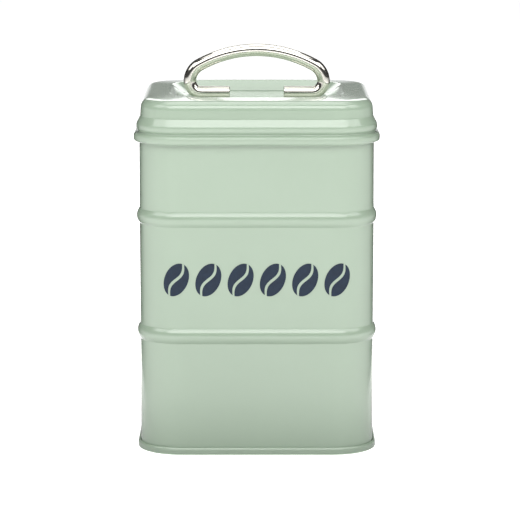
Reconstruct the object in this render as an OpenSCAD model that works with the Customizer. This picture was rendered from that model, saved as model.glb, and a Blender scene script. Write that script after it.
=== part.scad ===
// Square storage tin
// A painted tinplate canister: a beaded body with a lock seam at the back and a double-seamed base,
// and a stepped lid that lifts off, with a bent-rod handle screwed to it and a soft ring inside it.
// Millimetres, +Z up. The tin stands on Z = 0, centred on the Z axis, and its plain front faces -Y.

/* [Body] */
// Width of the wall across the flats
body_w = 110; // [96:1:140]
// Outside radius of the upright corners
corner_r = 20; // [17:1:24]
// Height of the top curl of the wall
wall_top = 154.5; // [120:0.5:220]
// Thickness of the tinplate
sheet = 0.4; // [0.3:0.05:0.5]

/* [Beads] */
// Height of the lower bead's centre, as a share of the wall's height
low_bead = 0.365; // [0.25:0.005:0.45]
// Height of the upper bead's centre, as a share of the wall's height
high_bead = 0.72; // [0.6:0.005:0.8]
// Height of one bead
bead_h = 6.8; // [5:0.2:9]
// How far a bead stands out from the wall
bead_out = 1.25; // [0.8:0.05:1.8]
// Angle of a bead's flanks from the wall
bead_slope = 37; // [30:1:45]

/* [Base] */
// Height of the rolled seam at the foot
seam_h = 3.9; // [3.5:0.1:5]
// Height of the sunk base panel above the ground
panel_z = 4.5; // [4:0.1:8]

/* [Lid] */
// Height of the lid's wall, from its rim to the raised ring on its roof
lid_h = 20.7; // [19:0.1:26]
// How far the lid's rim reaches below the top of the wall
lid_overlap = 8.2; // [7.5:0.1:8.5]
// Depth of the sunk middle of the roof
dish_depth = 4.7; // [3:0.1:6]
// Distance of the raised ring inside the flats of the wall
crest_inset = 13.5; // [12:0.5:15]
// Corner radius of the sunk middle, measured at the raised ring
dish_r = 24; // [14:1:32]

/* [Handle] */
// Diameter of the handle's rod
rod_d = 6.1; // [5.6:0.1:7]
// Distance of the arch's sides inside the raised ring, to the middle of the rod
arch_inset = 9.5; // [8.5:0.5:13]
// Rise of the arch above the lower bends
arch_rise = 15; // [13:0.5:20]
// Radius of the arch's shoulders
shoulder_r = 9; // [7:0.5:11]
// Length of the straight tab at each end of the rod
tab_len = 13.7; // [12:0.1:16]
// Height of the middle of the arch's shoulders above the middle of the tabs
bend_rise = 5.4; // [5:0.1:8]

/* [Screws] */
// Thread diameter of the two handle screws
screw_d = 3; // [2.5:0.5:3]
// Distance of each screw inside the arch's sides
screw_inset = 12.5; // [11:0.5:14]
// Length of thread inside the rod
bite = 4; // [3:0.5:4]

/* [Fits] */
// Gap between the folded layers of a seam
seam_gap = 0.05; // [0.03:0.01:0.1]
// Gap between the soft ring and what it touches
ring_gap = 0.1; // [0.05:0.05:0.3]
// Gap all round a screw in the lid and the washer
screw_gap = 0.2; // [0.1:0.05:0.3]
// Gap all round a screw in its thread
thread_gap = 0.05; // [0.03:0.01:0.1]
// Gap between faces that are screwed together
face_gap = 0.02; // [0.01:0.01:0.05]

/* [Hidden] */

$fn = 96;
ARC_STEPS = 6;
EPS = 0.01;

PAINT = [0.68, 0.78, 0.68];
NICKEL = [0.82, 0.81, 0.77];
ZINC = [0.72, 0.73, 0.75];
SILICONE = [0.9, 0.9, 0.88];

half = body_w / 2;
mid = half - corner_r;
wall_in = half - sheet;

// Folded layers of the foot seam, from the wall outwards
pan_hook = half + seam_gap;
wall_hook = pan_hook + sheet + seam_gap;
pan_skirt = wall_hook + sheet + seam_gap;
seam_out = pan_skirt + sheet;
fold_r = 0.45;
hook_foot = sheet + seam_gap;
seam_drop = 0.9;
seam_r = 1.3;
hook_top = seam_h - seam_drop - sheet - seam_gap;
pan_in = wall_in - seam_gap - sheet;

// Shallow step in the base panel that stiffens it
step_in = 6;
step_w = 1.2;
step_h = 0.8;

// Top curl of the wall, turned inwards so that the lid's groove passes it
curl_gap = 0.4;
curl_h = 1;
curl_r = 0.2;

// Outside radius where a bead leaves the wall
bead_foot = 0.9;

// Lock seam down the back of the wall
lock_w = 5;
lock_depth = 0.9;
lock_foot = panel_z + sheet + 1;
lock_head = wall_top - 3;

// Lid, from its rim upwards
rim_z = wall_top - lid_overlap;
lid_top = rim_z + lid_h;
floor_top = lid_top - dish_depth;
floor_under = floor_top - sheet;
rim_out = half + 2.7;
rim_in = half + 0.9;
rim_h = 3.5;
rim_curl = 1.3;
hem_h = 2.2;
groove = half + 0.35;
groove_z = rim_z + 4.6;
bulge = half + 1.4;
bulge_r = 2.6;
bulge_foot = rim_z + 6.1;
bulge_head = rim_z + 8.2;
waist = half - 0.5;
waist_z = rim_z + 11.7;
tier = half - 0.9;
tier_z = lid_top - 0.9;
crest = half - crest_inset;
land_w = 0.6;
dish_mid = crest - dish_r;
dish_wall = 6.8;

// Soft ring inside the lid
ring_in = half - 1.1;
ring_z = wall_top + ring_gap;
ring_top = waist_z - 0.6;

// Handle
rod_r = rod_d / 2;
arch_half = crest - arch_inset;
tab_gap = arch_half - bend_rise - tab_len;
tab_flat = 0.3;
tab_z = floor_top + face_gap + rod_r - tab_flat;
spring_z = tab_z + bend_rise;
crown_r = (pow(arch_half, 2) + pow(arch_rise, 2) - 2 * arch_half * shoulder_r)
    / (2 * (arch_rise - shoulder_r));
crown_drop = crown_r - arch_rise;
crown_turn = atan((arch_half - shoulder_r) / crown_drop);
tab_round = 0.5;
crown_rod = rod_r - 0.01;
crown_lap = 0.2;

// Screws and washers
screw_x = arch_half - screw_inset;
tap_depth = bite + 0.6;
washer_od = 7;
washer_t = 0.5;
head_d = 5.8;
head_h = 2.2;
head_round = 0.9;
recess_w = 0.8;
recess_l = 3.2;
recess_depth = 1.3;
washer_top = floor_under - face_gap;
head_top = washer_top - washer_t - face_gap;

// ---- Outline helpers: an outline is a list of [distance, height, corner radius] ----

// Direction from p to q
function leg(p, q) = [q.x - p.x, q.y - p.y] / norm([q.x - p.x, q.y - p.y]);

// Direction to the right of u
function right_of(u) = [u.y, -u.x];

// Point p turned by an angle
function turned(p, w) = [p.x * cos(w) - p.y * sin(w), p.x * sin(w) + p.y * cos(w)];

// Side that a corner from u to v bends to: 1 to the left, -1 to the right
function bend_side(u, v) = sign(u.x * v.y - u.y * v.x);

// Points of the rounded corner at b between the directions u and v
function corner_arc(b, u, v, r) =
    let (side = bend_side(u, v))
    let (bend = acos(u * v))
    let (inward = right_of(u) * -side)
    let (centre = [b.x, b.y] - u * r * tan(bend / 2) + inward * r)
    [for (k = [0 : ARC_STEPS]) centre + turned(-inward * r, side * bend * k / ARC_STEPS)];

// Points of an outline with its corners rounded
function rounded(path) = [
    for (i = [0 : len(path) - 1])
        let (inside = i > 0 && i < len(path) - 1 && path[i][2] > 0)
        for (p = inside
            ? corner_arc(path[i], leg(path[i - 1], path[i]), leg(path[i], path[i + 1]), path[i][2])
            : [[path[i].x, path[i].y]])
            p
];

// The outline moved to its right by t, with its arcs kept concentric
function beside(path, t) = [
    for (i = [0 : len(path) - 1])
        let (last = len(path) - 1)
        let (u = leg(path[max(i - 1, 0)], path[max(i, 1)]))
        let (v = leg(path[min(i, last - 1)], path[min(i + 1, last)]))
        let (out = (right_of(u) + right_of(v)) / norm(right_of(u) + right_of(v)))
        let (step = t / (out * right_of(u)))
        let (r = path[i][2] == 0 ? 0 : max(path[i][2] + bend_side(u, v) * t, 0))
        [path[i].x + out.x * step, path[i].y + out.y * step, r]
];

// The same points from last to first
function reversed(path) = [for (i = [len(path) - 1 : -1 : 0]) path[i]];

// Section of bent sheet: its face is the path, and its metal lies to the right of it
module sheet_section(path) {
    polygon(concat(rounded(path), reversed(rounded(beside(path, sheet)))));
}

// Runs a section round a square plan whose corner axes stand at (+-c, +-c)
module run_round(c) {
    for (turn = [0 : 90 : 270]) {
        rotate([0, 0, turn]) {
            translate([0, c, 0])
                rotate([90, 0, 0])
                    linear_extrude(2 * c)
                        children();
            translate([c, c, 0])
                rotate_extrude(angle = 90)
                    translate([-c, 0])
                        children();
        }
    }
}

// Flat plate with rounded corners, from z0 up by t
module plate(h, c, z0, t) {
    translate([0, 0, z0]) {
        linear_extrude(t) {
            square([2 * h, 2 * c], center = true);
            square([2 * c, 2 * h], center = true);
            for (x = [-c, c], y = [-c, c])
                translate([x, y])
                    circle(h - c);
        }
    }
}

// ---- Outlines ----

// Corners of one bead on the inner face of the wall, centred at height z
function bead(z) =
    let (reach = bead_h / 2 * tan(bead_slope))
    let (crown = (reach - bead_out) / (1 / cos(bead_slope) - 1))
    [
        [wall_in, z - bead_h / 2, bead_foot + sheet],
        [wall_in + reach, z, crown - sheet],
        [wall_in, z + bead_h / 2, bead_foot + sheet]
    ];

// Inner face of the wall, from its foot hook to its top curl
wall_path = concat(
    [
        [wall_hook + sheet, hook_top, 0],
        [wall_hook + sheet, hook_foot, fold_r],
        [wall_in, hook_foot, fold_r]
    ],
    bead(wall_top * low_bead),
    bead(wall_top * high_bead),
    [
        [wall_in, wall_top - sheet, curl_r],
        [wall_in - curl_gap, wall_top - sheet, curl_r],
        [wall_in - curl_gap, wall_top - curl_h, 0]
    ]
);

// Outer face of the base's rim, from the tip of its hook to the sunk panel
pan_path = [
    [pan_hook, hook_foot + sheet + 0.7, 0],
    [pan_hook, seam_h, fold_r],
    [seam_out, seam_h - seam_drop, seam_r],
    [seam_out, 0, fold_r + sheet],
    [pan_in, 0, fold_r],
    [pan_in, panel_z, 0.6],
    [pan_in - step_in, panel_z, 0.8],
    [pan_in - step_in - step_w, panel_z + step_h, 0.8],
    [mid + 5, panel_z + step_h, 0]
];

// Outer face of the lid from the raised ring down to the end of its hem
lid_path = [
    [crest - land_w / 2, lid_top, 0],
    [crest + land_w, lid_top, 3],
    [tier, tier_z, 4.5],
    [waist, waist_z, 1.5],
    [bulge, bulge_head, bulge_r],
    [bulge, bulge_foot, bulge_r],
    [groove, groove_z, 0.4],
    [rim_out, rim_z + rim_h, 1.5],
    [rim_out, rim_z, rim_curl],
    [rim_in, rim_z, fold_r],
    [rim_in, rim_z + hem_h, 0]
];

// Outer face of the sunk middle, from the raised ring inwards to the floor
dish_path = [
    [crest - dish_wall - 5, floor_top, 0],
    [crest - dish_wall, floor_top, 2.4],
    [crest - 1.1, lid_top, 1.6],
    [crest - 0.2, lid_top, 0]
];

// Space left for the soft ring, on its roof side
ring_path = beside([for (i = [2 : 5]) lid_path[i]], sheet + ring_gap);

// ---- Body ----

// Rolled wall with two beads, and its lock seam down the back
module body_wall() {
    color(PAINT) {
        run_round(mid)
            sheet_section(wall_path);
        difference() {
            translate([-lock_w / 2, wall_in - lock_depth, lock_foot])
                cube([lock_w, lock_depth + sheet / 2, lock_head - lock_foot]);
            lock_groove();
        }
    }
}

// Fine line down the lock seam where its folded edge ends
module lock_groove() {
    translate([lock_w / 2 - 1, wall_in - lock_depth - EPS, lock_foot - EPS])
        cube([0.3, 0.3, lock_head - lock_foot + 2 * EPS]);
}

// Base panel, rolled together with the foot of the wall
module base_pan() {
    color(PAINT) {
        run_round(mid)
            sheet_section(pan_path);
        plate(mid + 10, mid, panel_z + step_h, sheet);
    }
}

// ---- Lid ----

// Pressed lid: rim, bulge, tier, raised ring and sunk middle, with two screw holes
module lid_shell() {
    color(PAINT) {
        difference() {
            union() {
                run_round(mid)
                    sheet_section(lid_path);
                raised_land();
                run_round(dish_mid)
                    sheet_section(dish_path);
                plate(crest - dish_wall - 2.8, dish_mid, floor_under, sheet);
            }
            for (x = [-screw_x, screw_x])
                translate([x, 0, floor_under - 1])
                    cylinder(d = screw_d + 2 * screw_gap, h = sheet + 2);
        }
    }
}

// Flat land on the raised ring, which widens into the corners
module raised_land() {
    difference() {
        plate(crest, mid, lid_top - sheet, sheet);
        plate(crest - land_w, dish_mid, lid_top - sheet - 1, sheet + 2);
    }
}

// Soft ring under the lid's shoulder, which rests on the top curl of the wall
module lid_seal() {
    color(SILICONE)
        run_round(mid)
            ring_section();
}

// Section of the soft ring: flat below, and following the shoulder above
module ring_section() {
    roof = rounded(ring_path);
    intersection() {
        polygon(concat(roof, [[ring_in - 2, ring_path[3].y], [ring_in - 2, ring_path[0].y]]));
        translate([ring_in, ring_z])
            square([bulge - ring_in, ring_top - ring_z]);
    }
}

// ---- Handle ----

// Bent round rod with two flat-bottomed tabs, tapped for the screws
module handle() {
    color(NICKEL) {
        difference() {
            union() {
                crown();
                for (flip = [0, 1])
                    mirror([flip, 0, 0])
                        handle_side();
            }
            translate([-arch_half, -rod_d, floor_top - rod_d])
                cube([2 * arch_half, 2 * rod_d, rod_d + face_gap]);
            for (x = [-screw_x, screw_x])
                translate([x, 0, floor_top - 1])
                    cylinder(d = screw_d + 2 * thread_gap, h = tap_depth + 1);
        }
    }
}

// Long shallow arc over the top of the arch, a hair thinner, lapped into the shoulders
module crown() {
    translate([0, 0, spring_z - crown_drop])
        rod_arc(crown_r, 90 - crown_turn - crown_lap, 2 * (crown_turn + crown_lap), crown_rod);
}

// Shoulder, lower bend and tab on the +X side
module handle_side() {
    translate([arch_half - shoulder_r, 0, spring_z])
        rod_arc(shoulder_r, 0, 90 - crown_turn);
    translate([arch_half - bend_rise, 0, spring_z])
        rod_arc(bend_rise, 270, 90);
    translate([tab_gap, 0, tab_z])
        rotate([0, 90, 0])
            tab();
}

// Straight end of the rod along Z, with its tip rounded over
module tab() {
    rotate_extrude() {
        square([rod_r - tab_round, tab_round + EPS]);
        translate([0, tab_round])
            square([rod_r, tab_len - tab_round]);
        intersection() {
            translate([rod_r - tab_round, tab_round])
                circle(tab_round);
            square(rod_r);
        }
    }
}

// Arc of rod in the XZ plane about the origin, from an angle through a sweep
module rod_arc(r, from, sweep, rod = rod_r) {
    rotate([90, 0, 0])
        rotate_extrude(angle = sweep, start = from)
            translate([r, 0])
                circle(rod);
}

// ---- Screws ----

module handle_screw_left() {
    color(ZINC)
        translate([-screw_x, 0, 0])
            screw();
}

module handle_screw_right() {
    color(ZINC)
        translate([screw_x, 0, 0])
            screw();
}

// Pan-head screw pointing up, with a cross recess in the underside of its head
module screw() {
    difference() {
        union() {
            translate([0, 0, head_top - EPS])
                cylinder(d = screw_d, h = floor_top + bite - head_top + EPS);
            translate([0, 0, head_top])
                mirror([0, 0, 1])
                    rotate_extrude()
                        head_section();
        }
        for (a = [0, 90])
            rotate([0, 0, a])
                translate([-recess_l / 2, -recess_w / 2, head_top - head_h - EPS])
                    cube([recess_l, recess_w, recess_depth + EPS]);
    }
}

// Half section of the screw head, measured away from its bearing face
module head_section() {
    path = [[0, 0, 0], [head_d / 2, 0, 0], [head_d / 2, head_h, head_round], [0, head_h, 0]];
    polygon(rounded(path));
}

module washer_left() {
    color(ZINC)
        translate([-screw_x, 0, 0])
            washer();
}

module washer_right() {
    color(ZINC)
        translate([screw_x, 0, 0])
            washer();
}

// Flat washer under the lid's floor
module washer() {
    translate([0, 0, washer_top - washer_t]) {
        difference() {
            cylinder(d = washer_od, h = washer_t);
            translate([0, 0, -1])
                cylinder(d = screw_d + 2 * screw_gap, h = washer_t + 2);
        }
    }
}

body_wall();
base_pan();
lid_shell();
lid_seal();
handle();
handle_screw_left();
handle_screw_right();
washer_left();
washer_right();
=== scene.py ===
"""Looks of a square painted coffee tin: beaded body, lift-off lid, bent-rod handle and printed beans.

Outlines of the sheet-metal parts are lists of (distance from the middle, height, corner radius) in
millimetres, measured from the model's own boxes. Each is run round the tin's rounded-square plan.
"""
import math
import bmesh
import bpy
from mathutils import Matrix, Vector


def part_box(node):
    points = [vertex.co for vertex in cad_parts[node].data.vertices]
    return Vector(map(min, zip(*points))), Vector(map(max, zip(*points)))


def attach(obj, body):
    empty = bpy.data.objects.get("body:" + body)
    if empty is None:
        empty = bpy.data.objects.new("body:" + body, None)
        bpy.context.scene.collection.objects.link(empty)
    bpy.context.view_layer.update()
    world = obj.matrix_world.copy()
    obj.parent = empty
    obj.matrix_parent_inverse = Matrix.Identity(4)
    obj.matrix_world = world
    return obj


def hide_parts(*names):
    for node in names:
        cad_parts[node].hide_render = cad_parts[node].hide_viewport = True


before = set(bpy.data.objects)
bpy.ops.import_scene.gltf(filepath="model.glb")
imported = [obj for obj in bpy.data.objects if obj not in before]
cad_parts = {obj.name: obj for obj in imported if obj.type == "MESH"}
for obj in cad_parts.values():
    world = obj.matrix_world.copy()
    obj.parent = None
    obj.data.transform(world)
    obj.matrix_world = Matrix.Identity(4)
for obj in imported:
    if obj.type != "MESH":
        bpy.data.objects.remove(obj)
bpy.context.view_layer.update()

MM = 0.001

# ---- Sizes, in millimetres ----

SHEET = 0.4
SEAM_GAP = 0.05
CORNER_R = 20.0
LID_PROUD = 2.7          # how far the lid's rim stands out past the wall
BEAD_H = 6.8
BEAD_OUT = 1.25
BEAD_SLOPE = math.radians(37)
BEAD_FOOT = 0.9          # radius where a bead leaves the wall, on the wall's outer face
LOW_BEAD = 0.365         # shares of the wall's height
HIGH_BEAD = 0.72
CURL_GAP = 0.4
CURL_H = 1.0
CURL_R = 0.2
FOLD_R = 0.45
SEAM_H = 3.9             # foot seam
SEAM_DROP = 0.9          # the seam's rolled top slopes down this far towards the outside
SEAM_ROLL = 1.3
PAN_HOOK = 1.55          # height of the panel's edge inside the seam
PAN_FOOT_R = 0.6
STEP_IN = 6.0            # shallow step round the base panel
STEP_W = 1.2
STEP_H = 0.8
STEP_R = 0.8
CORE = 0.5               # flat panels are run in to this far from their middle, then closed
LOCK_HALF = 3.0
LOCK_PROUD = 0.12
LOCK_FOLD = 0.9
LOCK_LOW = 1.0           # the lock seam's folded part starts this far above the panel
LOCK_HIGH = 3.0          # and ends this far below the wall's top
RIM_IN = 0.9             # the lid's outline: how far each feature stands out past the wall, or in from it
RIM_H = 3.5
RIM_SHOULDER_R = 1.5
RIM_CURL = 1.3
HEM_H = 2.2
GROOVE_OUT = 0.35
GROOVE_Z = 4.6
GROOVE_R = 0.4
BULGE_OUT = 1.4
BULGE_LOW = 6.1
BULGE_HIGH = 8.2
BULGE_R = 2.6
WAIST_IN = 0.5
WAIST_Z = 11.7
WAIST_R = 1.5
TIER_IN = 0.9
TIER_DROP = 0.95
TIER_R = 4.5
CREST_UP = 0.12
CREST_R = 1.8
DISH_DEPTH = 4.7
DISH_R = 2.4
PLAN_SHOULDER = 3.0      # inside this distance from the wall, the lid's rings turn about other corner axes
PANEL_SHARE = 0.6        # on the flat middle of the lid, axes stand at this share of the half-width
PAN_SHARE = 0.85         # and at this share on the base panel
DISH_CORNER = 24.0
CREST_INSET = 13.5
DISH_WALL = 6.8
ROD_R = 3.05
ROD_SIDES = 32
ARCH_INSET = 9.5         # the arch's sides stand this far inside the raised ring
TAB_LEN = 13.7
ARCH_RISE = 15.0
SHOULDER_R = 9.0
BEND_R = 5.4
TAB_FLAT = 0.3
TIP_ROUND = 0.5
REST_GAP = 0.02          # hairline between the tabs and the lid
SEAL_W = 1.1             # the soft ring's inner face stands this far inside the wall's outer face
SEAL_GAP = 0.1
SEAL_BEVEL = 0.25
INK = 0.05


def height(node, end):
    """Lowest (end 0) or highest (end 1) point of a part, in millimetres."""
    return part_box(node)[end][2] / MM


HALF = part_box("lid_shell")[1][0] / MM - LID_PROUD
MID = HALF - CORNER_R
CREST = HALF - CREST_INSET
ARCH_HALF = CREST - ARCH_INSET
TAB_GAP = ARCH_HALF - BEND_R - TAB_LEN
WALL_IN = HALF - SHEET
WALL_TOP = height("body_wall", 1)
PANEL_Z = height("base_pan", 1) - SHEET - STEP_H
LID_TOP = height("lid_shell", 1)
RIM_Z = height("lid_shell", 0)
FLOOR_TOP = LID_TOP - DISH_DEPTH
TAB_Z = FLOOR_TOP + REST_GAP + ROD_R - TAB_FLAT
SEAL_Z = height("lid_seal", 0)
SEAL_TOP = height("lid_seal", 1)


# ---- Outlines ----

ARC_STEPS = 8
LONGEST = 7.0            # longest straight stretch without a point in it
HOLD = 0.25              # distance of a stretch's first and last point from its ends


def unit(a, b):
    """Direction from a to b."""
    dx, dy = b[0] - a[0], b[1] - a[1]
    size = math.hypot(dx, dy)
    return dx / size, dy / size


def to_right(u):
    """Direction to the right of u."""
    return u[1], -u[0]


def bend_side(u, v):
    """1 if v bends to the left of u, -1 if to the right."""
    cross = u[0] * v[1] - u[1] * v[0]
    return (cross > 0) - (cross < 0)


def corner_arc(b, u, v, r):
    """Points of the rounded corner at b between the directions u and v."""
    side = bend_side(u, v)
    bend = math.acos(max(-1.0, min(1.0, u[0] * v[0] + u[1] * v[1])))
    right = to_right(u)
    inward = (-side * right[0], -side * right[1])
    back = r * math.tan(bend / 2)
    centre = (b[0] - u[0] * back + inward[0] * r, b[1] - u[1] * back + inward[1] * r)
    points = []
    for k in range(ARC_STEPS + 1):
        w = side * bend * k / ARC_STEPS
        x, y = -inward[0] * r, -inward[1] * r
        points.append((centre[0] + x * math.cos(w) - y * math.sin(w),
                       centre[1] + x * math.sin(w) + y * math.cos(w)))
    return points


def rounded(path):
    """Points of an outline with its corners rounded, as one list of runs: each corner is a run."""
    runs = []
    for i, point in enumerate(path):
        if 0 < i < len(path) - 1 and point[2] > 0:
            u, v = unit(path[i - 1], point), unit(point, path[i + 1])
            runs.append(corner_arc(point, u, v, point[2]))
        else:
            runs.append([(point[0], point[1])])
    return runs


def beside(path, t):
    """The outline moved to its right by t, with its arcs kept concentric."""
    moved = []
    last = len(path) - 1
    for i, point in enumerate(path):
        u = unit(path[max(i - 1, 0)], path[max(i, 1)])
        v = unit(path[min(i, last - 1)], path[min(i + 1, last)])
        a, b = to_right(u), to_right(v)
        out = unit((0, 0), (a[0] + b[0], a[1] + b[1]))
        step = t / (out[0] * a[0] + out[1] * a[1])
        r = max(point[2] + bend_side(u, v) * t, 0) if point[2] else 0
        moved.append((point[0] + out[0] * step, point[1] + out[1] * step, r))
    return moved


def filled_in(runs):
    """One list of points from the runs. Straight stretches get a point close to each end, which keeps
    their shading flat, and more points where they are long."""
    points = list(runs[0])
    for run in runs[1:]:
        a, b = points[-1], run[0]
        size = math.hypot(b[0] - a[0], b[1] - a[1])
        if size > 4 * HOLD:
            u = unit(a, b)
            points.append((a[0] + u[0] * HOLD, a[1] + u[1] * HOLD))
            count = int(size // LONGEST)
            for k in range(1, count + 1):
                d = HOLD + (size - 2 * HOLD) * k / (count + 1)
                points.append((a[0] + u[0] * d, a[1] + u[1] * d))
            points.append((b[0] - u[0] * HOLD, b[1] - u[1] * HOLD))
        points.extend(p for p in run if math.dist(p, points[-1]) > 1e-4)
    return points


def between(points, high, low):
    """The part of a falling line of points between two heights, cut exactly at both."""
    kept = []
    for a, b in zip(points, points[1:]):
        for level in (high, low):
            if a[1] > level >= b[1]:
                part = (a[1] - level) / (a[1] - b[1])
                kept.append((a[0] + (b[0] - a[0]) * part, level))
        if low < b[1] < high:
            kept.append(b)
    return kept


def sheet_faces(path):
    """The two faces of bent sheet whose metal lies to the right of the path."""
    return filled_in(rounded(path)), filled_in(rounded(beside(path, SHEET)))


# ---- Rings round the tin ----

CORNER_STEPS = 14
SIDE_STEPS = 12
LOCK_EDGE = 0.15         # half the width of the step at each edge of the lock seam
LOCK_CLEAR = 1.5
LOCK_STOPS = [LOCK_HALF + LOCK_EDGE, LOCK_HALF - LOCK_EDGE, 1.0, 0.0, -1.0, -LOCK_HALF + LOCK_EDGE,
              -LOCK_HALF - LOCK_EDGE]


def side_stops(mid, lock):
    """Places along one side, from mid down to -mid, without its ends."""
    even = [mid * (1 - 2 * k / SIDE_STEPS) for k in range(1, SIDE_STEPS)]
    if not lock:
        return even
    clear = [s for s in even if abs(s) > LOCK_HALF + LOCK_CLEAR]
    return sorted(clear + LOCK_STOPS, reverse=True)


def ring(h, z, mid, lock=False):
    """Points at height z round a square of half-width h whose corner axes stand at (+-mid, +-mid).
    Each is (x, y, z, outward x, outward y, place along the side)."""
    r = h - mid
    points = []
    for quarter in range(4):
        turn = quarter * math.pi / 2
        co, si = round(math.cos(turn)), round(math.sin(turn))

        def put(x, y, nx, ny, s):
            points.append((x * co - y * si, x * si + y * co, z, nx * co - ny * si, nx * si + ny * co, s))

        for k in range(CORNER_STEPS + 1):
            a = math.pi / 2 * k / CORNER_STEPS
            put(mid + r * math.cos(a), mid + r * math.sin(a), math.cos(a), math.sin(a), None)
        for s in side_stops(mid, lock and quarter == 0):
            put(s, h, 0, 1, s if quarter == 0 else None)
    return points


def plan_same(h):
    """Corner axes of the wall, which every ring of the body shares."""
    return MID


def plan_lid(h):
    """Corner axes of the lid's rings. They move in over the roof, so the land widens at the corners."""
    shoulder = HALF - PLAN_SHOULDER
    dish = CREST - DISH_CORNER
    if h >= shoulder:
        return MID
    if h >= CREST:
        part = (h - CREST) / (shoulder - CREST)
        return dish + (MID - dish) * part
    return min(dish, PANEL_SHARE * h)


def ripple(x, y, z):
    """Slight waves that rolled sheet keeps on its flats, in millimetres."""
    a = math.sin(x * 0.071 + 0.6) * math.sin(z * 0.052 + 1.1)
    b = math.sin(y * 0.083 + 2.0) * math.sin(z * 0.094 + 0.4)
    c = math.sin((x + y) * 0.15 + 0.9) * math.sin(z * 0.17)
    return 0.05 * a + 0.04 * b + 0.015 * c


# ---- Meshes ----

SHARP = math.radians(40)


def finish_mesh(name, bm, materials):
    """A smooth-shaded object at the origin from a bmesh in millimetres."""
    bmesh.ops.remove_doubles(bm, verts=bm.verts, dist=1e-4)
    bmesh.ops.recalc_face_normals(bm, faces=bm.faces)
    bmesh.ops.scale(bm, vec=(MM, MM, MM), verts=bm.verts)
    for face in bm.faces:
        face.smooth = True
    for edge in bm.edges:
        if len(edge.link_faces) == 2 and edge.calc_face_angle(0) > SHARP:
            edge.smooth = False
    mesh = bpy.data.meshes.new(name)
    bm.to_mesh(mesh)
    bm.free()
    for material in materials:
        mesh.materials.append(material)
    piece = bpy.data.objects.new(name, mesh)
    bpy.context.scene.collection.objects.link(piece)
    return piece


def bridge(bm, lower, upper, material):
    """Quads between two rings of the same count."""
    count = len(lower)
    for i in range(count):
        j = (i + 1) % count
        face = bm.faces.new((lower[i], lower[j], upper[j], upper[i]))
        face.material_index = material


def run_round(name, stations, materials, plan=plan_same, closed=True, wave=1.0, lock=False):
    """Runs stations round the plan. A station is (distance, height, material, folded), where folded says how
    far the lock seam stands off that face. An open run is capped flat at both ends."""
    bm = bmesh.new()
    rings = []
    for h, z, material, folded in stations:
        row = []
        for x, y, z0, nx, ny, s in ring(h, z, plan(h), lock):
            out = wave * ripple(x, y, z0)
            if lock and s is not None and abs(s) < LOCK_HALF:
                out += folded
            row.append(bm.verts.new((x + nx * out, y + ny * out, z0)))
        rings.append(row)
    for i in range(len(rings) - (0 if closed else 1)):
        bridge(bm, rings[i], rings[(i + 1) % len(rings)], stations[i][2])
    if not closed:
        bm.faces.new(rings[0]).material_index = stations[0][2]
        bm.faces.new(rings[-1]).material_index = stations[-1][2]
    return finish_mesh(name, bm, materials)


# ---- Materials ----

def new_material(name):
    """A node material and its shader."""
    material = bpy.data.materials.new(name)
    material.use_nodes = True
    return material, material.node_tree, material.node_tree.nodes["Principled BSDF"]


def node(tree, kind, **settings):
    """A node with its inputs set."""
    made = tree.nodes.new(kind)
    for key, value in settings.items():
        made.inputs[key.title()].default_value = value
    return made


def place(tree, stretch=(1, 1, 1)):
    """Object coordinates, stretched."""
    coords = tree.nodes.new("ShaderNodeTexCoord")
    mapping = tree.nodes.new("ShaderNodeMapping")
    mapping.inputs["Scale"].default_value = stretch
    tree.links.new(coords.outputs["Object"], mapping.inputs["Vector"])
    return mapping.outputs["Vector"]


def noise(tree, vector, scale, detail):
    """A noise pattern; scale is in waves a metre."""
    made = node(tree, "ShaderNodeTexNoise", scale=scale, detail=detail)
    tree.links.new(vector, made.inputs["Vector"])
    return made.outputs["Fac"]


def remap(tree, value, given, wanted):
    """Maps one range of a value onto another; both ranges are (from, to)."""
    made = tree.nodes.new("ShaderNodeMapRange")
    for name, number in zip(("From Min", "From Max", "To Min", "To Max"), (*given, *wanted)):
        made.inputs[name].default_value = number
    tree.links.new(value, made.inputs["Value"])
    return made.outputs["Result"]


def spread(tree, value, low, high):
    """Maps the middle of a noise, where most of it lies, onto low..high."""
    return remap(tree, value, (0.3, 0.7), (low, high))


def from_middle(tree, vector):
    """Distance of a point from the origin."""
    made = tree.nodes.new("ShaderNodeVectorMath")
    made.operation = "LENGTH"
    tree.links.new(vector, made.inputs[0])
    return made.outputs["Value"]


def blend_colours(tree, value, first, second):
    """A colour between two, chosen by value."""
    made = tree.nodes.new("ShaderNodeMix")
    made.data_type = "RGBA"
    made.inputs[6].default_value = (*first, 1)
    made.inputs[7].default_value = (*second, 1)
    tree.links.new(value, made.inputs[0])
    return made.outputs[2]


def bump(tree, value, distance, strength):
    """A bump of the given height in metres."""
    made = node(tree, "ShaderNodeBump", strength=strength, distance=distance)
    tree.links.new(value, made.inputs["Height"])
    return made.outputs["Normal"]


def enamel():
    """Sage-green stove enamel: satin, with a fine orange-peel skin and a slight drift of tone."""
    material, tree, shader = new_material("sage_enamel")
    vector = place(tree)
    drift = spread(tree, noise(tree, vector, 14, 2), 0, 1)
    colour = blend_colours(tree, drift, (0.333, 0.423, 0.323), (0.347, 0.440, 0.337))
    tree.links.new(colour, shader.inputs["Base Color"])
    tree.links.new(spread(tree, noise(tree, vector, 40, 2), 0.20, 0.24), shader.inputs["Roughness"])
    peel = bump(tree, noise(tree, vector, 700, 1), 0.000004, 0.5)
    tree.links.new(peel, shader.inputs["Normal"])
    shader.inputs["Specular IOR Level"].default_value = 0.6
    shader.inputs["Coat Weight"].default_value = 0.85
    shader.inputs["Coat Roughness"].default_value = 0.08
    return material


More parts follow.
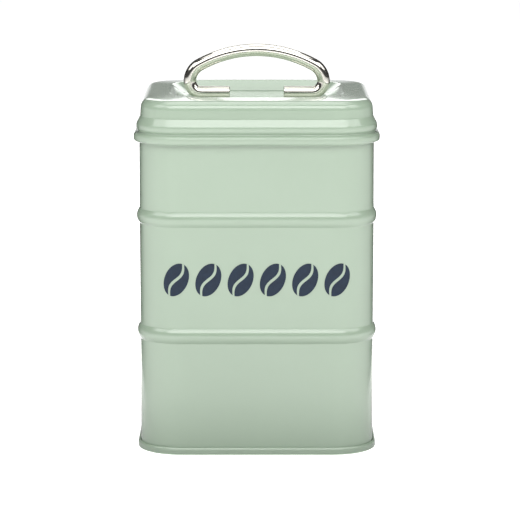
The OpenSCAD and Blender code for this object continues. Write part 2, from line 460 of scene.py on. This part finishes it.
def tinplate():
    """Bare lacquered tinplate inside the tin: dull metal with a rolled grain and a faint spangle."""
    material, tree, shader = new_material("lacquered_tinplate")
    grain = noise(tree, place(tree, (40, 40, 900)), 1, 4)
    cells = node(tree, "ShaderNodeTexVoronoi", scale=260)
    tree.links.new(place(tree), cells.inputs["Vector"])
    colour = blend_colours(tree, cells.outputs["Color"], (0.60, 0.60, 0.58), (0.70, 0.69, 0.66))
    tree.links.new(colour, shader.inputs["Base Color"])
    tree.links.new(spread(tree, grain, 0.26, 0.38), shader.inputs["Roughness"])
    tree.links.new(bump(tree, grain, 0.00001, 0.4), shader.inputs["Normal"])
    shader.inputs["Metallic"].default_value = 1.0
    shader.inputs["Coat Weight"].default_value = 0.3
    return material


def nickel():
    """Polished nickel on the handle: warm, near mirror, with faint draw lines."""
    material, tree, shader = new_material("polished_nickel")
    lines = noise(tree, place(tree, (60, 1400, 1400)), 1, 3)
    colour = blend_colours(tree, spread(tree, noise(tree, place(tree), 70, 3), 0, 1),
                           (0.80, 0.775, 0.70), (0.84, 0.815, 0.75))
    tree.links.new(colour, shader.inputs["Base Color"])
    tree.links.new(spread(tree, lines, 0.07, 0.12), shader.inputs["Roughness"])
    tree.links.new(bump(tree, lines, 0.000004, 0.5), shader.inputs["Normal"])
    shader.inputs["Metallic"].default_value = 1.0
    return material


def zinc():
    """Bright zinc on the screws and washers, slightly cloudy."""
    material, tree, shader = new_material("bright_zinc")
    cloud = noise(tree, place(tree), 700, 4)
    colour = blend_colours(tree, spread(tree, cloud, 0, 1), (0.52, 0.53, 0.56), (0.66, 0.67, 0.69))
    tree.links.new(colour, shader.inputs["Base Color"])
    tree.links.new(spread(tree, cloud, 0.24, 0.40), shader.inputs["Roughness"])
    shader.inputs["Metallic"].default_value = 1.0
    return material


def silicone():
    """Milky silicone of the ring in the lid."""
    material, tree, shader = new_material("milky_silicone")
    dust = noise(tree, place(tree), 1500, 3)
    colour = blend_colours(tree, spread(tree, dust, 0, 1), (0.72, 0.72, 0.68), (0.80, 0.80, 0.76))
    tree.links.new(colour, shader.inputs["Base Color"])
    tree.links.new(spread(tree, dust, 0.42, 0.55), shader.inputs["Roughness"])
    tree.links.new(bump(tree, dust, 0.00001, 0.4), shader.inputs["Normal"])
    shader.inputs["Subsurface Weight"].default_value = 0.3
    shader.inputs["Subsurface Radius"].default_value = (0.004, 0.004, 0.003)
    return material


def ink():
    """Navy printing ink, a little uneven, on top of the enamel."""
    material, tree, shader = new_material("navy_ink")
    mottle = noise(tree, place(tree), 450, 4)
    colour = blend_colours(tree, spread(tree, mottle, 0, 1), (0.006, 0.016, 0.036), (0.010, 0.023, 0.048))
    tree.links.new(colour, shader.inputs["Base Color"])
    tree.links.new(spread(tree, mottle, 0.30, 0.42), shader.inputs["Roughness"])
    tree.links.new(bump(tree, mottle, 0.00001, 0.3), shader.inputs["Normal"])
    shader.inputs["Specular IOR Level"].default_value = 0.35
    return material


def paper():
    """Matt white floor that glows though it is no lamp, a painted light: the glow is weaker near the tin and
    stronger further out.
    """
    material, tree, shader = new_material("floor_paper")
    vector = place(tree)
    grain = noise(tree, vector, 30, 4)
    colour = blend_colours(tree, spread(tree, grain, 0, 1), (0.86, 0.86, 0.86), (0.88, 0.88, 0.88))
    tree.links.new(colour, shader.inputs["Base Color"])
    shader.inputs["Roughness"].default_value = 0.8
    shader.inputs["Emission Color"].default_value = (1, 1, 1, 1)
    # Painted light: the floor's glow, from 0.6 within 0.3 m of the middle up to 0.9 at 2.2 m.
    glow = remap(tree, from_middle(tree, vector), (0.3, 2.2), (0.6, 0.9))
    tree.links.new(glow, shader.inputs["Emission Strength"])
    return material


def felt():
    """Dark felt on the side cards, a dark sheet put there only for reflections: it paints dark reflections
    down the tin's sides, and fades to clear towards the cards' front edge.
    """
    material, tree, shader = new_material("dark_felt")
    nap = noise(tree, place(tree), 200, 3)
    colour = blend_colours(tree, spread(tree, nap, 0, 1), (0.02, 0.02, 0.02), (0.04, 0.04, 0.04))
    tree.links.new(colour, shader.inputs["Base Color"])
    shader.inputs["Roughness"].default_value = 0.9
    parts = tree.nodes.new("ShaderNodeSeparateXYZ")
    tree.links.new(place(tree), parts.inputs["Vector"])
    # The painted dark reflection fades out towards the cards' front edge.
    fade = remap(tree, parts.outputs["Y"], (CARD_FRONT, CARD_FULL), (0, 1))
    clear = tree.nodes.new("ShaderNodeBsdfTransparent")
    mix = tree.nodes.new("ShaderNodeMixShader")
    tree.links.new(fade, mix.inputs[0])
    tree.links.new(clear.outputs["BSDF"], mix.inputs[1])
    tree.links.new(shader.outputs["BSDF"], mix.inputs[2])
    tree.links.new(mix.outputs["Shader"], tree.nodes["Material Output"].inputs["Surface"])
    return material


def shade_and_glow_card():
    """Ground card under the tin: dark beside it, a painted shade for whatever faces down, and fading to a
    white glow, a painted light, at its edge.
    """
    material, tree, shader = new_material("shade_and_glow_card")
    # Painted shade near the tin, painted glow further out.
    fade = remap(tree, from_middle(tree, place(tree)), (0.07, 0.19), (0, 1))
    colour = blend_colours(tree, fade, (0.6, 0.6, 0.6), (0.9, 0.9, 0.9))
    tree.links.new(colour, shader.inputs["Base Color"])
    tree.links.new(fade, shader.inputs["Emission Strength"])
    shader.inputs["Emission Color"].default_value = (0.6, 0.6, 0.6, 1)
    shader.inputs["Roughness"].default_value = 0.9
    return material


ENAMEL = enamel()
TINPLATE = tinplate()
NICKEL = nickel()
ZINC = zinc()
SILICONE = silicone()
NAVY = ink()


# ---- Body ----

def bead(z):
    """Corners of one bead on the inner face of the wall."""
    reach = BEAD_H / 2 * math.tan(BEAD_SLOPE)
    crown = (reach - BEAD_OUT) / (1 / math.cos(BEAD_SLOPE) - 1)
    foot = BEAD_FOOT + SHEET
    top = (WALL_IN + reach, z, crown - SHEET)
    return [(WALL_IN, z - BEAD_H / 2, foot), top, (WALL_IN, z + BEAD_H / 2, foot)]


def body_wall():
    """Rolled wall with its two beads, top curl, foot hook and the lock seam down its back."""
    hook = HALF + 2 * SHEET + 2 * SEAM_GAP
    foot = SHEET + SEAM_GAP
    hook_top = SEAM_H - SEAM_DROP - SHEET - SEAM_GAP
    path = [(hook, hook_top, 0), (hook, foot, FOLD_R), (WALL_IN, foot, FOLD_R)]
    path += bead(WALL_TOP * LOW_BEAD) + bead(WALL_TOP * HIGH_BEAD)
    path += [(WALL_IN, WALL_TOP - SHEET, CURL_R), (WALL_IN - CURL_GAP, WALL_TOP - SHEET, CURL_R),
             (WALL_IN - CURL_GAP, WALL_TOP - CURL_H, 0)]
    inside, outside = sheet_faces(path)
    seam_low, seam_high = PANEL_Z + SHEET + LOCK_LOW, WALL_TOP - LOCK_HIGH
    stations = []
    for h, z in inside:
        stations.append((h, z, 1, -LOCK_FOLD if seam_low < z < seam_high else 0))
    for h, z in reversed(outside):
        stations.append((h, z, 0, LOCK_PROUD if seam_low < z < seam_high else 0))
    wall = run_round("tin_wall", stations, [ENAMEL, TINPLATE], lock=True)
    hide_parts("body_wall")
    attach(wall, "tin")


def base_pan():
    """Base panel rolled together with the foot of the wall."""
    hook = HALF + SEAM_GAP
    out = HALF + 3 * SEAM_GAP + 3 * SHEET
    rim_in = WALL_IN - SEAM_GAP - SHEET
    step = rim_in - STEP_IN
    path = [(hook, PAN_HOOK, 0), (hook, SEAM_H, FOLD_R), (out, SEAM_H - SEAM_DROP, SEAM_ROLL),
            (out, 0, FOLD_R + SHEET), (rim_in, 0, FOLD_R), (rim_in, PANEL_Z, PAN_FOOT_R),
            (step, PANEL_Z, STEP_R), (step - STEP_W, PANEL_Z + STEP_H, STEP_R), (CORE, PANEL_Z + STEP_H, 0)]
    under, above = sheet_faces(path)
    faces = [(h, z, 0, 0) for h, z in reversed(under)]
    inner = [(h, z, 1 if z > PANEL_Z and h < rim_in else 0, 0) for h, z in above]
    pan = run_round("tin_base", faces + inner, [ENAMEL, TINPLATE], plan=plan_base, closed=False, wave=0.0)
    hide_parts("base_pan")
    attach(pan, "tin")


def plan_base(h):
    """Corner axes of the base's rings: the wall's, until the flat panel runs in to the middle."""
    return min(MID, PAN_SHARE * h)


# ---- Lid ----

def lid_path():
    """Outer face of the lid from the middle of its sunk floor to the end of its hem."""
    rim_out = HALF + LID_PROUD
    return [
        (CORE, FLOOR_TOP, 0),
        (CREST - DISH_WALL, FLOOR_TOP, DISH_R),
        (CREST, LID_TOP + CREST_UP, CREST_R),
        (HALF - TIER_IN, LID_TOP - TIER_DROP, TIER_R),
        (HALF - WAIST_IN, RIM_Z + WAIST_Z, WAIST_R),
        (HALF + BULGE_OUT, RIM_Z + BULGE_HIGH, BULGE_R),
        (HALF + BULGE_OUT, RIM_Z + BULGE_LOW, BULGE_R),
        (HALF + GROOVE_OUT, RIM_Z + GROOVE_Z, GROOVE_R),
        (rim_out, RIM_Z + RIM_H, RIM_SHOULDER_R),
        (rim_out, RIM_Z, RIM_CURL),
        (HALF + RIM_IN, RIM_Z, FOLD_R),
        (HALF + RIM_IN, RIM_Z + HEM_H, 0),
    ]


def lid_shell():
    """Pressed lid: rim, bulge, tier, raised ring and sunk middle."""
    outside, inside = sheet_faces(lid_path())
    stations = [(h, z, 0, 0) for h, z in outside] + [(h, z, 1, 0) for h, z in reversed(inside)]
    lid = run_round("lid_skin", stations, [ENAMEL, TINPLATE], plan=plan_lid, closed=False, wave=0.35)
    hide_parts("lid_shell")
    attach(lid, "lid")


def lid_seal():
    """Soft ring under the lid's shoulder."""
    shoulder = beside(lid_path()[3:7], SHEET + SEAL_GAP)
    bevel_top = SEAL_Z + SEAL_BEVEL
    roof = between(filled_in(rounded(shoulder)), SEAL_TOP, bevel_top)
    inner = HALF - SEAL_W
    section = [(inner, bevel_top), (inner, SEAL_TOP)] + roof
    section += [(roof[-1][0] - SEAL_BEVEL, SEAL_Z), (inner + SEAL_BEVEL, SEAL_Z)]
    stations = [(h, z, 0, 0) for h, z in section]
    seal = run_round("seal_ring", stations, [SILICONE], wave=0.0)
    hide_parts("lid_seal")
    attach(seal, "lid")


# ---- Handle ----

def rod_line():
    """Middle line of the rod in the XZ plane, from the tip of the left tab to the tip of the right one."""
    crown_r = (ARCH_HALF ** 2 + ARCH_RISE ** 2 - 2 * ARCH_HALF * SHOULDER_R) / (2 * (ARCH_RISE - SHOULDER_R))
    spring = TAB_Z + BEND_R
    turn = math.atan((ARCH_HALF - SHOULDER_R) / (crown_r - ARCH_RISE))
    side = [(TAB_GAP, TAB_Z), (TAB_GAP + TIP_ROUND, TAB_Z)]
    run = ARCH_HALF - BEND_R
    side += [(TAB_GAP + TIP_ROUND + (run - TAB_GAP - TIP_ROUND) * k / 8, TAB_Z) for k in range(1, 8)]

    def arc(x, z, r, start, end, steps):
        for k in range(steps + 1):
            a = start + (end - start) * k / steps
            side.append((x + r * math.cos(a), z + r * math.sin(a)))

    arc(run, spring, BEND_R, -math.pi / 2, 0, 18)
    arc(ARCH_HALF - SHOULDER_R, spring, SHOULDER_R, math.radians(3), math.pi / 2 - turn, 18)
    arc(0, spring + ARCH_RISE - crown_r, crown_r, math.pi / 2 - turn + 0.02, math.pi / 2, 24)
    left = [(-x, z) for x, z in side]
    return left + side[-2::-1]


def handle():
    """Bent rod with softly rounded tips and flats under its tabs."""
    line = rod_line()
    bm = bmesh.new()
    rings = []
    last = len(line) - 1
    for i, (x, z) in enumerate(line):
        a, b = line[max(i - 1, 0)], line[min(i + 1, last)]
        u = unit(a, b)
        out = (-u[1], u[0])
        end_gap = min(i, last - i)
        stops = [(0.0, ROD_R)]
        if end_gap == 0:
            turns = [k * math.pi / 8 for k in range(4)]
            stops = [(TIP_ROUND * (1 - math.cos(a)), ROD_R - TIP_ROUND * (1 - math.sin(a))) for a in turns]
        if i == last:
            stops = [(-s, r) for s, r in reversed(stops)]
        for s, r in stops:
            row = []
            for k in range(ROD_SIDES):
                w = 2 * math.pi * k / ROD_SIDES
                px = x + u[0] * s + out[0] * r * math.cos(w)
                pz = z + u[1] * s + out[1] * r * math.cos(w)
                pz = max(pz, FLOOR_TOP + REST_GAP)
                row.append(bm.verts.new((px, r * math.sin(w), pz)))
            rings.append(row)
    for lower, upper in zip(rings, rings[1:]):
        bridge(bm, lower, upper, 0)
    bm.faces.new(rings[0])
    bm.faces.new(rings[-1])
    rod = finish_mesh("handle_rod", bm, [NICKEL])
    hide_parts("handle")
    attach(rod, "lid")


def fixings():
    """The screws and washers under the lid keep their own shapes and get the zinc finish."""
    for name in ("handle_screw_left", "handle_screw_right", "washer_left", "washer_right"):
        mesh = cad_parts[name].data
        mesh.materials.clear()
        mesh.materials.append(ZINC)


# ---- Print ----

BEANS = 6
PRINT_HALF = 43.6
PRINT_LOW = 75.5
PRINT_HIGH = 91.0
BEAN_A = 8.1
BEAN_B = 5.6
BEAN_TILT = math.radians(24)
SLIT = 0.75


def bean_mesh():
    """One printed bean, flat in the XZ plane round the origin: two halves and a winding slit between."""
    bm = bmesh.new()
    rows, columns = 28, 6
    for side in (-1, 1):
        front = []
        for i in range(rows + 1):
            t = -1 + 2 * i / rows
            v = BEAN_A * math.sin(t * math.pi / 2)
            edge = BEAN_B * math.sqrt(max(0.0, 1 - (v / BEAN_A) ** 2))
            bend = 1.35 * math.sin(v / BEAN_A * math.pi)
            slit = side * SLIT * (1 - 0.35 * abs(v / BEAN_A)) + bend
            inner = max(-edge, min(edge, slit))
            row = []
            for k in range(columns + 1):
                u = inner + (side * edge - inner) * k / columns
                x = u * math.cos(BEAN_TILT) + v * math.sin(BEAN_TILT)
                z = v * math.cos(BEAN_TILT) - u * math.sin(BEAN_TILT)
                row.append(bm.verts.new((x, 0, z)))
            front.append(row)
        for a, b in zip(front, front[1:]):
            for k in range(columns):
                bm.faces.new((a[k], a[k + 1], b[k + 1], b[k]))
    bmesh.ops.remove_doubles(bm, verts=bm.verts, dist=0.02)
    bmesh.ops.dissolve_degenerate(bm, edges=bm.edges, dist=0.01)
    bmesh.ops.recalc_face_normals(bm, faces=bm.faces)
    mesh = bpy.data.meshes.new("bean")
    bm.to_mesh(mesh)
    bm.free()
    return mesh


def bean_tree():
    """Nodes that set the bean out in a row, give it the ink's thickness and wrap it round the front."""
    tree = bpy.data.node_groups.new("bean_row", "GeometryNodeTree")
    face = tree.interface
    face.new_socket("Geometry", in_out="INPUT", socket_type="NodeSocketGeometry")
    face.new_socket("Count", in_out="INPUT", socket_type="NodeSocketInt")
    for name in ("Pitch", "Height", "Flat half", "Corner radius", "Ink"):
        face.new_socket(name, in_out="INPUT", socket_type="NodeSocketFloat")
    face.new_socket("Geometry", in_out="OUTPUT", socket_type="NodeSocketGeometry")
    add, link = tree.nodes.new, tree.links.new
    given = add("NodeGroupInput")
    result = add("NodeGroupOutput")

    def calc(operation, first, second=None):
        made = add("ShaderNodeMath")
        made.operation = operation
        for socket, value in zip(made.inputs, (first, second)):
            if isinstance(value, bpy.types.NodeSocket):
                link(value, socket)
            elif value is not None:
                socket.default_value = value
        return made.outputs[0]

    line = add("GeometryNodeMeshLine")
    gap = add("ShaderNodeCombineXYZ")
    start = add("ShaderNodeCombineXYZ")
    span = calc("MULTIPLY", given.outputs["Pitch"], calc("SUBTRACT", given.outputs["Count"], 1.0))
    link(given.outputs["Pitch"], gap.inputs["X"])
    link(calc("MULTIPLY", span, -0.5), start.inputs["X"])
    link(given.outputs["Height"], start.inputs["Z"])
    link(given.outputs["Count"], line.inputs["Count"])
    link(start.outputs[0], line.inputs["Start Location"])
    link(gap.outputs[0], line.inputs["Offset"])
    row = add("GeometryNodeInstanceOnPoints")
    link(line.outputs["Mesh"], row.inputs["Points"])
    link(given.outputs["Geometry"], row.inputs["Instance"])
    real = add("GeometryNodeRealizeInstances")
    link(row.outputs["Instances"], real.inputs["Geometry"])
    thick = add("GeometryNodeExtrudeMesh")
    thick.inputs["Individual"].default_value = False
    lift = add("ShaderNodeCombineXYZ")
    link(calc("MULTIPLY", given.outputs["Ink"], -1.0), lift.inputs["Y"])
    link(real.outputs["Geometry"], thick.inputs["Mesh"])
    link(lift.outputs[0], thick.inputs["Offset"])
    thick.inputs["Offset Scale"].default_value = 1.0
    back = add("GeometryNodeFlipFaces")
    link(real.outputs["Geometry"], back.inputs["Mesh"])
    both = add("GeometryNodeJoinGeometry")
    link(thick.outputs["Mesh"], both.inputs["Geometry"])
    link(back.outputs["Mesh"], both.inputs["Geometry"])
    weld = add("GeometryNodeMergeByDistance")
    weld.inputs["Distance"].default_value = 0.000005
    link(both.outputs["Geometry"], weld.inputs["Geometry"])

    position = add("GeometryNodeInputPosition")
    parts = add("ShaderNodeSeparateXYZ")
    link(position.outputs[0], parts.inputs[0])
    along = parts.outputs["X"]
    far = calc("MAXIMUM", calc("SUBTRACT", calc("ABSOLUTE", along), given.outputs["Flat half"]), 0.0)
    angle = calc("DIVIDE", far, given.outputs["Corner radius"])
    near = calc("MINIMUM", calc("ABSOLUTE", along), given.outputs["Flat half"])
    radius = calc("SUBTRACT", given.outputs["Corner radius"], parts.outputs["Y"])
    reach = calc("ADD", near, calc("MULTIPLY", radius, calc("SINE", angle)))
    depth = calc("ADD", given.outputs["Flat half"], calc("MULTIPLY", radius, calc("COSINE", angle)))
    wrapped = add("ShaderNodeCombineXYZ")
    link(calc("MULTIPLY", reach, calc("SIGN", along)), wrapped.inputs["X"])
    link(calc("MULTIPLY", depth, -1.0), wrapped.inputs["Y"])
    link(parts.outputs["Z"], wrapped.inputs["Z"])
    move = add("GeometryNodeSetPosition")
    link(weld.outputs["Geometry"], move.inputs["Geometry"])
    link(wrapped.outputs[0], move.inputs["Position"])
    paint = add("GeometryNodeSetMaterial")
    paint.inputs["Material"].default_value = NAVY
    link(move.outputs["Geometry"], paint.inputs["Geometry"])
    link(paint.outputs["Geometry"], result.inputs["Geometry"])
    return tree


def printed_beans():
    """The printed row across the front, as one plain mesh."""
    mesh = bean_mesh()
    mesh.transform(((MM, 0, 0, 0), (0, MM, 0, 0), (0, 0, MM, 0), (0, 0, 0, 1)))
    maker = bpy.data.objects.new("bean_maker", mesh)
    bpy.context.scene.collection.objects.link(maker)
    modifier = maker.modifiers.new("row", "NODES")
    tree = bean_tree()
    modifier.node_group = tree
    bean_half = math.hypot(BEAN_B * math.cos(BEAN_TILT), BEAN_A * math.sin(BEAN_TILT))
    values = {"Count": BEANS, "Pitch": 2 * (PRINT_HALF - bean_half) / (BEANS - 1) * MM,
              "Height": (PRINT_LOW + PRINT_HIGH) / 2 * MM, "Flat half": MID * MM,
              "Corner radius": CORNER_R * MM + 0.00001, "Ink": INK * MM}
    for item in tree.interface.items_tree:
        if item.item_type == "SOCKET" and item.in_out == "INPUT" and item.name in values:
            modifier[item.identifier] = values[item.name]
    made = maker.evaluated_get(bpy.context.evaluated_depsgraph_get())
    plain = bpy.data.meshes.new_from_object(made)
    maker.modifiers.remove(modifier)
    maker.data = plain
    maker.name = "printed_beans"
    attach(maker, "tin")


body_wall()
base_pan()
lid_shell()
lid_seal()
handle()
fixings()
printed_beans()


# ---- Stage, light and camera, in metres ----

FLOOR_R = 14
SKY_LOW = 0.95           # brightness at the horizon
SKY_TOP = 0.06           # and overhead
CARD_X = 0.16
CARD_FRONT = -0.06       # the side cards are clear here
CARD_FULL = 0.09         # and fully dark from here back
CARD_BACK = 0.5
CARD_TOP = 0.5
CARD_LIFT = 0.001
GROUND = 0.2
GROUND_LIFT = 0.0005
CAMERA_AT = (0.0, -1.3225, 0.3017)
CAMERA_AIM = (0.00157, 0.0, 0.0836)
CAMERA_LENS = 191.6


def floor():
    """A wide pale floor."""
    bm = bmesh.new()
    turns = [a * math.pi / 24 for a in range(48)]
    bm.faces.new([bm.verts.new((FLOOR_R * math.cos(a), FLOOR_R * math.sin(a), 0)) for a in turns])
    mesh = bpy.data.meshes.new("floor")
    bm.to_mesh(mesh)
    bm.free()
    mesh.materials.append(paper())
    piece = bpy.data.objects.new("floor", mesh)
    bpy.context.scene.collection.objects.link(piece)


def softbox(name, place_at, aim, width, tall, power):
    """A soft rectangular light that the camera doesn't see."""
    lamp = bpy.data.lights.new(name, "AREA")
    lamp.shape = "RECTANGLE"
    lamp.size = width
    lamp.size_y = tall
    lamp.energy = power
    stand = bpy.data.objects.new(name, lamp)
    bpy.context.scene.collection.objects.link(stand)
    stand.location = place_at
    stand.rotation_euler = (Vector(aim) - Vector(place_at)).to_track_quat("-Z", "Y").to_euler()
    stand.visible_camera = False
    return stand


def card(name, corners, material):
    """A flat card that the camera doesn't see and that casts no shade. It darkens what reflects it."""
    bm = bmesh.new()
    bm.faces.new([bm.verts.new(c) for c in corners])
    mesh = bpy.data.meshes.new(name)
    bm.to_mesh(mesh)
    bm.free()
    mesh.materials.append(material)
    piece = bpy.data.objects.new(name, mesh)
    bpy.context.scene.collection.objects.link(piece)
    piece.visible_camera = False
    piece.visible_shadow = False


def cards():
    """A dark card on each side of the tin, and one on the floor that darkens whatever faces down."""
    dark = felt()
    for side, name in ((-1, "card_left"), (1, "card_right")):
        x = side * CARD_X
        card(name, [(x, CARD_FRONT, CARD_LIFT), (x, CARD_BACK, CARD_LIFT), (x, CARD_BACK, CARD_TOP),
                    (x, CARD_FRONT, CARD_TOP)], dark)
    square = ((-1, -1), (1, -1), (1, 1), (-1, 1))
    card("ground_card", [(a * GROUND, b * GROUND, GROUND_LIFT) for a, b in square], shade_and_glow_card())


def surroundings():
    """Surroundings that are white at the horizon and dimmer overhead."""
    world = bpy.data.worlds.new("studio")
    bpy.context.scene.world = world
    world.use_nodes = True
    tree = world.node_tree
    sky = tree.nodes["Background"]
    sky.inputs["Color"].default_value = (0.98, 0.985, 1.0, 1)
    coords = tree.nodes.new("ShaderNodeTexCoord")
    parts = tree.nodes.new("ShaderNodeSeparateXYZ")
    tree.links.new(coords.outputs["Generated"], parts.inputs["Vector"])
    fade = remap(tree, parts.outputs["Z"], (0.02, 0.08), (SKY_LOW, SKY_TOP))
    tree.links.new(fade, sky.inputs["Strength"])


def studio():
    """Soft lights in front, at the sides, above and behind, and the cards."""
    surroundings()
    softbox("key_light", (0, -1.2, 1.3), (0, 0, 0.1), 2.4, 0.85, 24)
    for side, name in ((-1, "left_light"), (1, "right_light")):
        softbox(name, (side * 1.35, -0.45, 1.25), (0, 0, 0.1), 0.9, 0.8, 5)
    softbox("top_light", (0, 0.2, 1.5), (0, 0, 0.1), 1.6, 1.3, 13)
    rear = softbox("rear_light", (0, 1.25, 1.35), (0, 0, 0.1), 1.8, 0.8, 6)
    rear.visible_glossy = False
    softbox("back_light", (0, 1.5, 0.72), (0, 0, 0.15), 1.6, 0.5, 5)
    cards()


def camera():
    """Long lens a little above the lid, level with the front."""
    data = bpy.data.cameras.new("camera")
    data.sensor_width = 36
    data.lens = CAMERA_LENS
    eye = bpy.data.objects.new("camera", data)
    bpy.context.scene.collection.objects.link(eye)
    eye.location = CAMERA_AT
    aim = Vector(CAMERA_AIM)
    eye.rotation_euler = (aim - Vector(CAMERA_AT)).to_track_quat("-Z", "Y").to_euler()
    bpy.context.scene.camera = eye


floor()
studio()
camera()
bpy.context.scene.view_settings.view_transform = "Standard"
